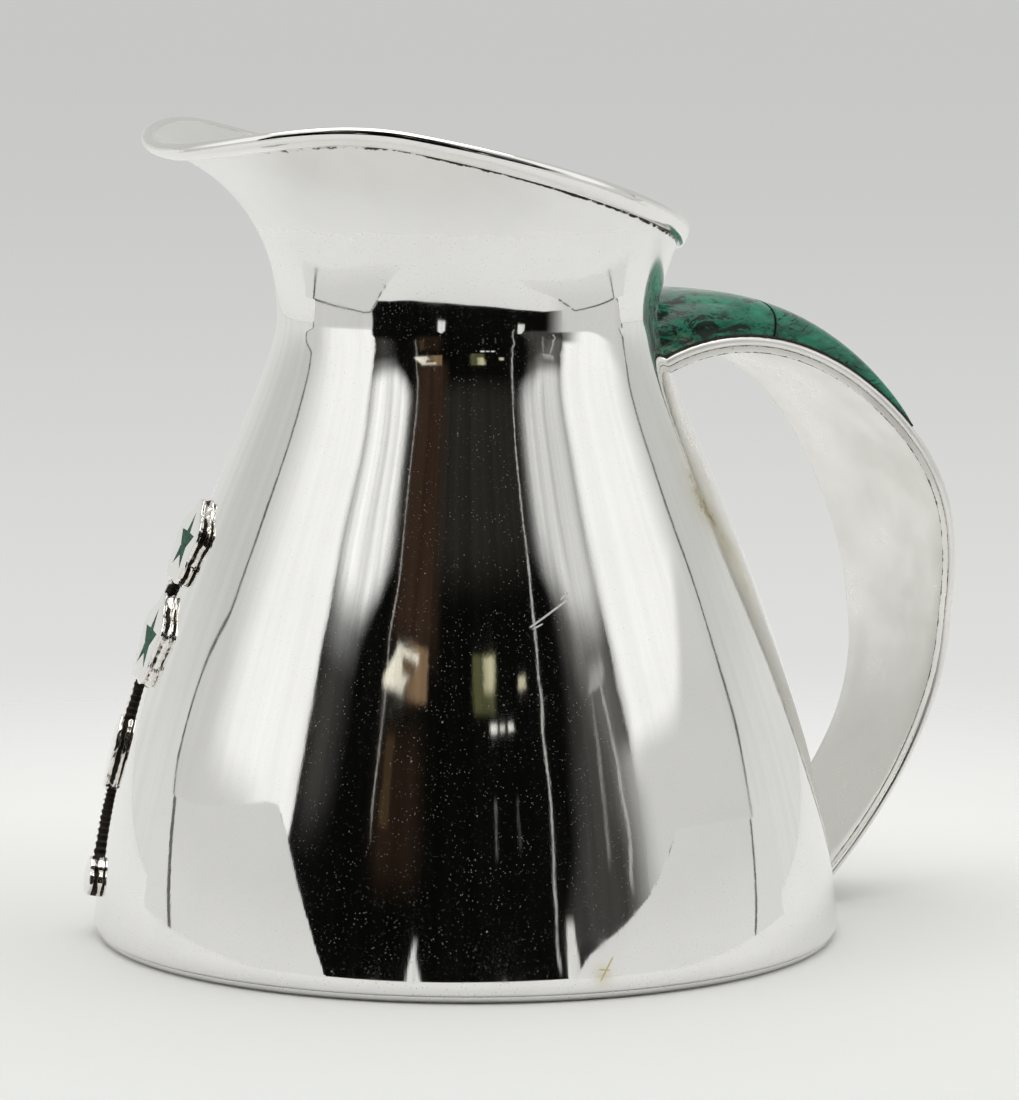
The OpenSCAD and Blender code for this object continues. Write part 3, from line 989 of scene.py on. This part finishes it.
SURROUND_PATCHES = (
    # the pale room, brighter low down
    upright(-181, 181, 1.0, LOW, (330, 230), (0.72, 0.725, 0.705)),
    # white side sheets, duller towards their feet and their far edges
    ((-97, -105), (-50, -50), (-340, -160), 0.8, LOW, (100, 1), LEFT_SHEET),
    ((-105, -111), (-50, -50), (100, 240), 0.8, (100, 1), (340, 1), LEFT_SHEET),
    ((-111, -105.5), (-50, -50), (340, 540), 0.8, (340, 1), HIGH, LEFT_SHEET),
    ((-92, -95), (-40, -40), (300, 700), 11.0, (60, 60), HIGH, (0.97, 0.97, 0.955)),
    ((50, 50), (98, 105), (-340, -160), 0.8, LOW, (100, 1), RIGHT_SHEET),
    ((50, 50), (101.5, 105.5), (100, 320), 0.8, (100, 1), HIGH, RIGHT_SHEET),
    ((45, 45), (94, 100), (500, 700), 7.0, (20, 50), HIGH, (0.96, 0.96, 0.945)),
    upright(45, 66, 7.0, (-80, 60), (480, 70), (0.2, 0.2, 0.195)),
    # the dark room in front
    upright(-57.5, 57.5, 0.6, LOW, HIGH, DARK),
    ((-56.5, -56.5), (-48, -45), (300, 800), 4.0, (400, 120), HIGH, (0.04, 0.039, 0.036)),
    ((-56.5, -56.5), (-45, -38), (760, 1200), 4.0, (830, 80), HIGH, (0.26, 0.26, 0.255)),
    ((-56.5, -56.5), (-43, -35), (860, 1250), 4.0, (940, 80), HIGH, (0.95, 0.95, 0.94)),
    ((32, 38), (57.5, 57.5), (100, 500), 4.0, (80, 60), HIGH, (0.05, 0.049, 0.046)),
    ((49, 37), (56.8, 56.8), (430, 1100), 4.0, (400, 80), HIGH, (0.13, 0.128, 0.12)),
    ((46, 34), (57.5, 57.5), (850, 1200), 6.0, (890, 90), HIGH, (0.66, 0.66, 0.65)),
    upright(-36, 31, 5.0, (1150, 110), HIGH, (0.02, 0.019, 0.016)),
    upright(-30, -13, 4.0, (930, 90), HIGH, (0.034, 0.02, 0.013)),
    upright(-30, -16, 4.0, (300, 90), (700, 90), (0.02, 0.012, 0.008)),
    # painted shadow gaps: thin dark lines along the far edges of the side sheets, where they stand off the
    # wall
    ((-98, -105.6), (-97, -104.6), (-340, -160), 0.45, LOW, (100, 1), FAR_EDGE_SHADOW),
    ((-105.6, -111.6), (-104.6, -110.6), (100, 240), 0.45, (100, 1), (340, 1), FAR_EDGE_SHADOW),
    ((-111.6, -106.1), (-110.6, -105.1), (340, 540), 0.45, (340, 1), (900, 250), FAR_EDGE_SHADOW),
    ((98, 104.6), (99, 105.6), (-340, -160), 0.45, LOW, (100, 1), FAR_EDGE_SHADOW),
    ((101.1, 105.1), (102.1, 106.1), (100, 320), 0.45, (100, 1), (900, 250), FAR_EDGE_SHADOW),
    # thin uprights, strips and lamps in the dark room
    upright(-31, -30.4, 0.25, (440, 60), HIGH, (0.3, 0.29, 0.27)),
    upright(27.4, 28.1, 0.25, (30, 20), HIGH, (0.42, 0.42, 0.4)),
    ((51.5, 50.5), (52.4, 51.4), (250, 760), 0.35, (240, 40), (760, 30), (0.4, 0.4, 0.38)),
    upright(45.5, 46.3, 0.5, (320, 40), (740, 60), (0.2, 0.2, 0.19)),
    ((44, 46), (51, 53), (700, 780), 1.0, (735, 8), (800, 40), (0.36, 0.36, 0.345)),
    upright(-28, -25, 0.6, (450, 20), (690, 20), (0.05, 0.032, 0.016)),
    upright(-23, -15.5, 0.7, (800, 14), (945, 10), (0.2, 0.13, 0.075)),
    ((-32, -27), (-24, -19), (820, 930), 0.8, (812, 14), (925, 12), (0.88, 0.84, 0.7)),
    ((-25, -25), (-23.6, -20), (820, 900), 0.5, (860, 20), (905, 12), (0.1, 0.06, 0.03)),
    upright(2, 10, 1.0, (780, 16), (960, 10), (0.075, 0.075, 0.035)),
    upright(6, 9.6, 0.8, (850, 20), (955, 10), (0.46, 0.44, 0.28)),
    upright(19, 22, 0.7, (845, 8), (885, 8), (0.62, 0.58, 0.42)),
    upright(8, 10.4, 0.5, (722, 7), (748, 7), LAMP),
    upright(11.4, 13.2, 0.5, (724, 7), (745, 7), LAMP),
    upright(14.4, 16.2, 0.5, (722, 7), (746, 7), LAMP),
    upright(8, 8.7, 0.3, (380, 20), (540, 20), (0.09, 0.09, 0.08)),
    upright(15.6, 16.3, 0.3, (400, 20), (540, 20), (0.07, 0.07, 0.06)),
    ((-16, -14.8), (-12.6, -13.6), (20, 150), 0.5, (-20, 10), (150, 25), (0.85, 0.85, 0.83)),
    ((30, 31), (34.5, 33), (30, 190), 0.5, (-20, 10), (190, 25), (0.72, 0.72, 0.69)),
)

# The pale corners of the table's cover, which curl up in front: top edge as (azimuth, height)
CORNER_RADIUS = 300.0
CORNER_LOW_COLOR = (0.72, 0.72, 0.705)
CORNER_HIGH_COLOR = (0.645, 0.645, 0.63)
OUTSIDE_CORNER = (0.71, 0.715, 0.695)
# dark line of painted shadow gap along the corners' outer edges and tops
CORNER_SHADOW_GAP = (0.12, 0.118, 0.10)
LEFT_CORNER = ((-97.5, 62), (-88, 67), (-80, 74), (-70, 83), (-60, 93), (-56, 94), (-52, 82), (-49, 68),
               (-45, 50), (-42, 35), (-38, 12), (-36, 0))
RIGHT_CORNER = ((92.5, 57), (87, 61), (80, 66), (70, 72), (63, 76), (57, 62), (52, 50), (44, 37), (37, 27),
                (32, 17), (28, 2))

# The sheets' softly fading feet above the corners, as (name, side, heights where it is clear and
# full, their rise, azimuths where each end is clear and full)
VEIL_RADIUS = 309.0
VEIL_HEIGHT = 195.0
VEILS = (("left_veil", -1, (118.0, 78.0), 0.0, ((60.0, 70.0), (96.0, 90.0))),
         ("right_veil", 1, (146.0, 124.0), 50.0, ((44.0, 60.0), (97.0, 92.0))))

# The table's outline as (azimuth, distance)
TABLE_EDGE = ((-105, 1440), (-97, 432), (-75, 527), (-57, 638), (-45, 690), (-25, 690), (0, 650),
              (28, 670), (45, 690), (57, 638), (80, 490), (97, 432), (105, 1440))


def make_camera():
    data = bpy.data.cameras.new("camera")
    data.sensor_fit = "HORIZONTAL"
    data.sensor_width = CAMERA_SENSOR
    data.lens = CAMERA_LENS
    data.shift_x, data.shift_y = CAMERA_SHIFT
    data.clip_start, data.clip_end = 0.05, 20.0
    camera = bpy.data.objects.new("camera", data)
    heading = Matrix.Rotation(-CAMERA_HEADING, 4, "Z")
    tilt = Matrix.Rotation(math.radians(90 - CAMERA_TILT), 4, "X")
    roll = Matrix.Rotation(math.radians(CAMERA_ROLL), 4, "Z")
    camera.matrix_world = Matrix.Translation(CAMERA_PLACE * MM) @ heading @ tilt @ roll
    bpy.context.scene.collection.objects.link(camera)
    bpy.context.scene.camera = camera


def stage_mesh(name, points, faces, material, *hidden_from):
    """A piece of the studio, hidden from the kinds of ray named."""
    mesh = bpy.data.meshes.new(name)
    mesh.from_pydata([Vector(p) * MM for p in points], [], faces)
    mesh.materials.append(material)
    made = bpy.data.objects.new(name, mesh)
    bpy.context.scene.collection.objects.link(made)
    for ray in hidden_from:
        setattr(made, "visible_" + ray, False)


def around_camera(azimuth, radius, height):
    """A place at an azimuth from the camera's side, positive to the camera's right."""
    a = math.radians(azimuth)
    side, front = radius * math.sin(a), radius * math.cos(a)
    c, s = math.cos(CAMERA_HEADING), math.sin(CAMERA_HEADING)
    return (side * c - front * s, -side * s - front * c, height)


def circle(radius, height):
    return [around_camera(360 * i / CIRCLE_SIDES, radius, height) for i in range(CIRCLE_SIDES)]


def stage_disc(name, outline, material, *hidden_from):
    stage_mesh(name, outline, [tuple(range(len(outline)))], material, *hidden_from)


def azimuth_and_height(tree, place):
    """Degrees from the camera's side, and height in millimetres."""
    inputs = {"Vector": place, "Angle": CAMERA_HEADING}
    facing = add(tree, "VectorRotate", inputs, rotation_type="Z_AXIS").outputs[0]
    split = add(tree, "SeparateXYZ", {0: facing})
    angle = math_node(tree, "ARCTAN2", split.outputs[0], times(tree, split.outputs[1], -1.0))
    return times(tree, angle, math.degrees(1.0)), times(tree, split.outputs[2], 1 / MM)


def surround_material():
    """A glowing wall whose brightness is painted by azimuth and height."""
    material, tree = new_material("surround")
    place = object_place(tree)
    azimuth, height = azimuth_and_height(tree, place)
    wander = noise_node(tree, place, 2.4, 2.0, 0.5)
    azimuth = plus(tree, azimuth, ramp(tree, wander, 0.3, 0.7, -1.4, 1.4, "LINEAR"))
    color = PALE
    for left, right, lean, soft, bottom, top, paint in SURROUND_PATCHES:
        leaning = ramp(tree, height, *lean)
        start, end = (ramp(tree, leaning, 0.0, 1.0, low, high, "LINEAR") for low, high in (left, right))
        after = minus(tree, azimuth, start)
        before = minus(tree, end, azimuth)
        mask = ramp(tree, math_node(tree, "MINIMUM", after, before), -soft, soft)
        above = ramp(tree, height, bottom[0] - bottom[1], bottom[0] + bottom[1])
        below = ramp(tree, height, top[0] + top[1], top[0] - top[1])
        mask = times(tree, mask, times(tree, above, below))
        color = blend_color(tree, mask, color, paint)
    streaks = noise_node(tree, stretched(tree, place, (9.0, 9.0, 0.9)), 1.0, 3.0, 0.6)
    inside = ramp(tree, math_node(tree, "ABSOLUTE", azimuth), 56.5, 54.5)
    shade = ramp(tree, streaks, 0.35, 0.65, -1.0, 0.43, "LINEAR")
    depth = ramp(tree, inside, 0.0, 1.0, 0.05, 0.28, "LINEAR")
    end_with(tree, emission(tree, color, plus(tree, 1.0, times(tree, depth, shade))))
    return material


def glow_material(name, color, strength=1.0):
    material, tree = new_material(name)
    end_with(tree, emission(tree, (*color, 1.0), strength))
    return material


def make_surround():
    low, high = circle(SURROUND_RADIUS, SURROUND_LOW), circle(SURROUND_RADIUS, SURROUND_TOP)
    stage_mesh("surround_wall", low + high, ring_faces(2, CIRCLE_SIDES), surround_material(), "camera")
    stage_disc("surround_top", high, glow_material("surround_top", TOP_COLOR, TOP_STRENGTH), "camera")


def strip_material(name, low, high, fade=None, rise=0.0, ends=()):
    """A pale glow that dulls upwards; fade and ends say where it thins out to nothing.

    Fade is in millimetres of height, and its heights rise by some more towards the strip's far end.
    """
    material, tree = new_material(name)
    azimuth, height = azimuth_and_height(tree, object_place(tree))
    glow = emission(tree, blend_color(tree, ramp(tree, height, 0.0, 60.0), low, high))
    if fade:
        azimuth = math_node(tree, "ABSOLUTE", azimuth)
        height = minus(tree, height, ramp(tree, azimuth, 70.0, 92.0, 0.0, rise))
        share = ramp(tree, height, *fade)
        for bare, full in ends:
            share = times(tree, share, ramp(tree, azimuth, bare, full))
        clear = add(tree, "BsdfTransparent").outputs[0]
        glow = add(tree, "MixShader", {0: share, 1: clear, 2: glow}).outputs[0]
    end_with(tree, glow)
    return material


def stand(name, low, high, material):
    """A band between two lines of (azimuth, radius, height) places, seen only in the silver."""
    points = [around_camera(*place) for place in low + high]
    count = len(low)
    faces = [(i, i + 1, count + i + 1, count + i) for i in range(count - 1)]
    stage_mesh(name, points, faces, material, "camera", "diffuse", "shadow")


def make_corner(name, corner, foot, wide, pale, line, outside):
    """One pale corner whose outer edge and top carry a painted shadow gap, and the room's paleness beyond
    that edge.
    """
    radius = CORNER_RADIUS
    side, top = corner[0]
    out = math.copysign(1.0, side)
    feet = [(foot, radius, 0.0), *((a, radius, 0.0) for a, h in corner[1:])]
    tops = [(a, radius, h) for a, h in corner]
    stand(name, feet, tops, pale)
    edge = [(foot + wide * out, radius, 0.0), (side + wide * out, radius, top)]
    stand(name + "_edge", [feet[0], tops[0]], edge, line)
    stand(name + "_outside", edge, [(foot + 15 * out, radius, 0.0), (side + 9 * out, radius, top)], outside)
    for part, lift, reach, material in (("_top", 0.3, 7, line), ("_top_underside", 0.2, 12, pale)):
        near = [(a, radius - reach, h + lift) for a, h in corner if h > 45]
        far = [(a, radius + reach, h + lift) for a, h in corner if h > 45]
        stand(name + part, near, far, material)


def make_corners():
    """Pale strips standing in front, seen only in the silver."""
    pale = strip_material("table_corner", CORNER_LOW_COLOR, CORNER_HIGH_COLOR)
    outside = glow_material("outside_corner", OUTSIDE_CORNER)
    # the dark line along the corners' edges is a painted shadow gap
    line = glow_material("corner_shadow_gap", CORNER_SHADOW_GAP)
    make_corner("left_corner", LEFT_CORNER, -89.6, 1.7, pale, line, outside)
    make_corner("right_corner", RIGHT_CORNER, 86.6, 0.9, pale, line, outside)
    for name, side, fade, rise, ends in VEILS:
        material = strip_material(name, LEFT_SHEET, LEFT_SHEET, fade, rise, ends)
        azimuths = [side * (42 + 5.6 * k) for k in range(11)]
        low, high = ([(a, VEIL_RADIUS, h) for a in azimuths] for h in (0.0, VEIL_HEIGHT))
        stand(name, low, high, material)


def diffuse_shader(tree, color):
    return add(tree, "BsdfDiffuse", {"Color": (*color, 1.0)}).outputs[0]


def table_material():
    material, tree = new_material("table")
    end_with(tree, diffuse_shader(tree, TABLE_COLOR))
    return material


def fading_table_material():
    """The table as the camera sees it, fading into the backdrop at its edge."""
    material, tree = new_material("table_seen")
    distance = add(tree, "VectorMath", {0: object_place(tree)}, operation="LENGTH").outputs["Value"]
    fade = ramp(tree, distance, 0.17, 0.44)
    clear = add(tree, "BsdfTransparent").outputs[0]
    both = add(tree, "MixShader", {0: fade, 1: diffuse_shader(tree, SEEN_TABLE_COLOR), 2: clear})
    end_with(tree, both.outputs[0])
    return material


def table_ring(shrink, height):
    """The table's outline, with its back rounded."""
    front = [(a, d - shrink) for a, d in TABLE_EDGE]
    side, far = TABLE_EDGE[-1]
    back = [(side + (360 - 2 * side) * i / 30, far - shrink) for i in range(1, 30)]
    return [around_camera(a, d, height) for a, d in front + back]


def make_table():
    """One table for the camera, and one for the silver, ringed with a painted shadow gap."""
    stage_disc("table_seen", circle(SEEN_TABLE_RADIUS, SEEN_TABLE_HEIGHT), fading_table_material(),
               "glossy", "diffuse", "shadow")
    outer, inner = table_ring(0.0, TABLE_HEIGHT), table_ring(TABLE_BORDER, TABLE_HEIGHT)
    stage_disc("table", inner, table_material(), "camera")
    # a dark glowing strip round the silver's table: painted shadow gap along its edge
    dark = glow_material("border", TABLE_SHADOW_GAP_COLOR)
    stage_mesh("table_shadow_gap", outer + inner, ring_faces(2, len(inner)), dark, "camera")


def make_backdrop():
    """The plain pale wall that the camera sees behind the table, a little darker higher up."""
    world = bpy.data.worlds.new("backdrop")
    bpy.context.scene.world = world
    world.use_nodes = True
    tree = world.node_tree
    tree.nodes.clear()
    way = add(tree, "TexCoord").outputs["Generated"]
    rise = add(tree, "SeparateXYZ", {0: way}).outputs[2]
    color = blend_color(tree, ramp(tree, rise, -0.175, -0.01), (0.76, 0.76, 0.752), (0.575, 0.58, 0.565))
    glow = add(tree, "Background", {"Color": color, "Strength": 1.0}).outputs[0]
    add(tree, "OutputWorld", {"Surface": glow})


# ---------- everything ----------

make_camera()
make_backdrop()
make_surround()
make_corners()
make_table()

silver_material("body_silver", SILVER, 0.026, 1.0, 0.42, satin=0.3, strokes=True)
silver_material("rim_silver", RIM_SILVER, 0.05, 1.0, 0.1)
silver_material("handle_silver", HANDLE_SILVER, 0.24, 0.95, 0.15)
oxidised_material()
stone_material()
cement_material()

make_body()
make_base()
make_rim()
make_handle()
make_stones()
make_cement()
make_flower("upper", UPPER_FLOWER_AT, UPPER_FLOWER_RADIUS)
make_flower("lower", LOWER_FLOWER_AT, LOWER_FLOWER_RADIUS)
make_leaves()
make_stem("main_stem", MAIN_STEM)
make_stem("lower_stem", LOWER_STEM)

bpy.context.scene.view_settings.view_transform = "Standard"
